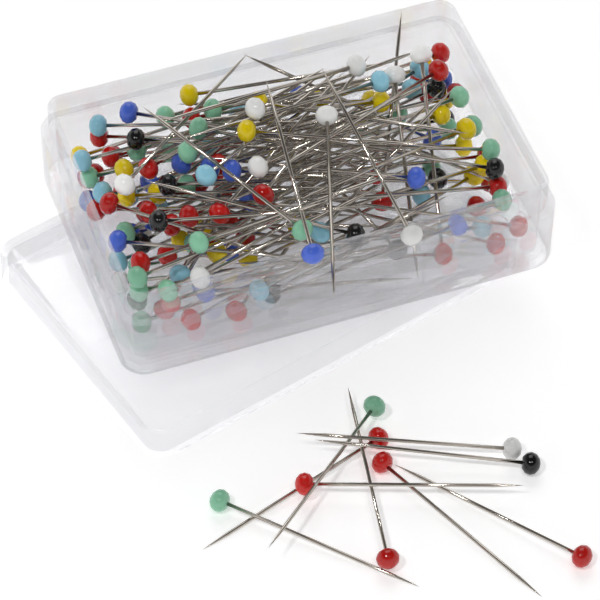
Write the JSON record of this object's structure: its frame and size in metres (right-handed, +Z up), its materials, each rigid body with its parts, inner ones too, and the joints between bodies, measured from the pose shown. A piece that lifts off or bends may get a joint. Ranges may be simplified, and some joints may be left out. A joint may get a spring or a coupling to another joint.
{
  "type": "pin box",
  "caption": "Clear two-part box of multicolour glass-headed dressmaking pins, standing askew on its own lid, with loose pins on the table in front.",
  "frame": {"origin": "centre of the bottom of the bounding box, on the table under the lid and the loose pins", "axes": "+X along the length of the pin box to the right, +Y towards its back, +Z up from the table"},
  "size_m": [0.0808, 0.103, 0.0311],
  "materials": {
    "clear_polystyrene": "clear gloss",
    "nickel_plated_steel": "bright drawn",
    "glass_red": "fire-polished opaque glass",
    "glass_blue": "fire-polished opaque glass",
    "glass_green": "fire-polished opaque glass",
    "glass_yellow": "fire-polished opaque glass",
    "glass_white": "fire-polished opaque glass",
    "glass_black": "fire-polished opaque glass",
    "glass_light_blue": "fire-polished opaque glass"
  },
  "bodies": {
    "lid": {"lid": "clear_polystyrene"},
    "box": {"pin_box": "clear_polystyrene", "heads_red": "glass_red", "shanks_red": "nickel_plated_steel", "heads_blue": "glass_blue", "shanks_blue": "nickel_plated_steel", "heads_green": "glass_green", "shanks_green": "nickel_plated_steel", "heads_yellow": "glass_yellow", "shanks_yellow": "nickel_plated_steel", "heads_white": "glass_white", "shanks_white": "nickel_plated_steel", "heads_black": "glass_black", "shanks_black": "nickel_plated_steel", "heads_light_blue": "glass_light_blue", "shanks_light_blue": "nickel_plated_steel"},
    "pin_white_at_back": {"pin_white_at_back_head": "glass_white", "pin_white_at_back_shank": "nickel_plated_steel"},
    "pin_white_near_back": {"pin_white_near_back_head": "glass_white", "pin_white_near_back_shank": "nickel_plated_steel"},
    "pin_white_in_middle": {"pin_white_in_middle_head": "glass_white", "pin_white_in_middle_shank": "nickel_plated_steel"},
    "pin_white_over_rim": {"pin_white_over_rim_head": "glass_white", "pin_white_over_rim_shank": "nickel_plated_steel"},
    "pin_blue_over_rim": {"pin_blue_over_rim_head": "glass_blue", "pin_blue_over_rim_shank": "nickel_plated_steel"},
    "loose_red_on_right": {"loose_red_on_right_head": "glass_red", "loose_red_on_right_shank": "nickel_plated_steel"},
    "loose_red_in_middle": {"loose_red_in_middle_head": "glass_red", "loose_red_in_middle_shank": "nickel_plated_steel"},
    "loose_red_behind": {"loose_red_behind_head": "glass_red", "loose_red_behind_shank": "nickel_plated_steel"},
    "loose_green_on_left": {"loose_green_on_left_head": "glass_green", "loose_green_on_left_shank": "nickel_plated_steel"},
    "loose_red_in_front": {"loose_red_in_front_head": "glass_red", "loose_red_in_front_shank": "nickel_plated_steel"},
    "loose_red_on_left": {"loose_red_on_left_head": "glass_red", "loose_red_on_left_shank": "nickel_plated_steel"},
    "loose_green_behind": {"loose_green_behind_head": "glass_green", "loose_green_behind_shank": "nickel_plated_steel"},
    "loose_white_on_top": {"loose_white_on_top_head": "glass_white", "loose_white_on_top_shank": "nickel_plated_steel"},
    "loose_black_on_top": {"loose_black_on_top_head": "glass_black", "loose_black_on_top_shank": "nickel_plated_steel"}
  },
  "joints": [
    {"name": "box_lift", "type": "slide", "parent": "lid", "child": "box", "axis": [0, 0, 1], "range_m": [0, 0.06]},
    {"name": "pin_white_at_back_pull", "type": "slide", "parent": "box", "child": "pin_white_at_back", "axis": [0.1682, 0.7913, 0.5878], "range_m": [0, 0.03]},
    {"name": "pin_white_near_back_pull", "type": "slide", "parent": "box", "child": "pin_white_near_back", "axis": [0.1744, 0.8203, 0.5446], "range_m": [0, 0.03]},
    {"name": "pin_white_in_middle_lift", "type": "slide", "parent": "box", "child": "pin_white_in_middle", "axis": [0, 0, 1], "range_m": [0, 0.04]},
    {"name": "pin_white_over_rim_lift", "type": "slide", "parent": "box", "child": "pin_white_over_rim", "axis": [0, 0, 1], "range_m": [0, 0.04]},
    {"name": "pin_blue_over_rim_lift", "type": "slide", "parent": "box", "child": "pin_blue_over_rim", "axis": [0, 0, 1], "range_m": [0, 0.04]},
    {"name": "loose_red_on_right_pull", "type": "slide", "parent": "lid", "child": "loose_red_on_right", "axis": [0.594, -0.8027, 0.0536], "range_m": [0, 0.03]},
    {"name": "loose_red_in_middle_lift", "type": "slide", "parent": "lid", "child": "loose_red_in_middle", "axis": [0, 0, 1], "range_m": [0, 0.025]},
    {"name": "loose_red_behind_lift", "type": "slide", "parent": "loose_red_in_middle", "child": "loose_red_behind", "axis": [0, 0, 1], "range_m": [0, 0.025]},
    {"name": "loose_green_on_left_lift", "type": "slide", "parent": "loose_red_behind", "child": "loose_green_on_left", "axis": [0, 0, 1], "range_m": [0, 0.025]},
    {"name": "loose_red_in_front_lift", "type": "slide", "parent": "loose_green_on_left", "child": "loose_red_in_front", "axis": [0, 0, 1], "range_m": [0, 0.025]},
    {"name": "loose_red_on_left_lift", "type": "slide", "parent": "loose_red_in_front", "child": "loose_red_on_left", "axis": [0, 0, 1], "range_m": [0, 0.025]},
    {"name": "loose_green_behind_lift", "type": "slide", "parent": "loose_red_on_left", "child": "loose_green_behind", "axis": [0, 0, 1], "range_m": [0, 0.025]},
    {"name": "loose_white_on_top_lift", "type": "slide", "parent": "loose_green_behind", "child": "loose_white_on_top", "axis": [0, 0, 1], "range_m": [0, 0.025]},
    {"name": "loose_black_on_top_lift", "type": "slide", "parent": "loose_green_behind", "child": "loose_black_on_top", "axis": [0, 0, 1], "range_m": [0, 0.025]}
  ]
}
